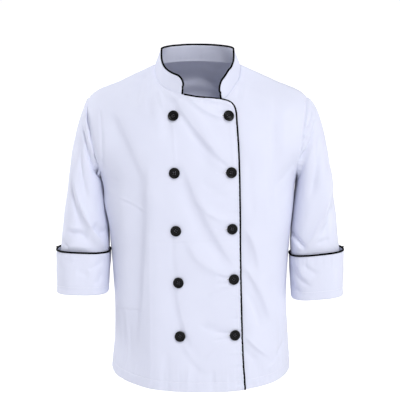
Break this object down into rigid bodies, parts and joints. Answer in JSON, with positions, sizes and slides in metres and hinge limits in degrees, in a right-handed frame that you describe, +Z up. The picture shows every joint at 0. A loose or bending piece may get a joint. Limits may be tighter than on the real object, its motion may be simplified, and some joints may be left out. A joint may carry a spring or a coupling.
{
  "type": "chef jacket",
  "caption": "Worn double-breasted chef jacket with a stand collar, an overlapping front, two columns of buttons, corded edges and turned-back three-quarter sleeves",
  "frame": {"origin": "middle of the neck at the height of the shoulder-neck points, where the wearer holds the jacket up", "axes": "+Z up from hem to collar, -Y out of the front, +X towards the wearer's left sleeve"},
  "size_m": [0.6304, 0.2818, 0.7311],
  "materials": {
    "white_twill": "white polyester and cotton twill, smooth and matte",
    "black_cord": "black corded piping, matte",
    "black_resin": "moulded black resin, satin"
  },
  "bodies": {
    "root": {"back": "white_twill", "front_right": "white_twill", "front_left": "white_twill", "sleeve_right": "white_twill", "sleeve_left": "white_twill", "cuff_right": "white_twill", "cuff_left": "white_twill", "collar": "white_twill", "collar_piping": "black_cord", "front_piping": "black_cord", "cuff_piping_right": "black_cord", "cuff_piping_left": "black_cord", "button_right_1": "black_resin", "button_right_2": "black_resin", "button_right_3": "black_resin", "button_right_4": "black_resin", "button_right_5": "black_resin", "button_left_1": "black_resin", "button_left_2": "black_resin", "button_left_3": "black_resin", "button_left_4": "black_resin", "button_left_5": "black_resin"}
  },
  "joints": []
}
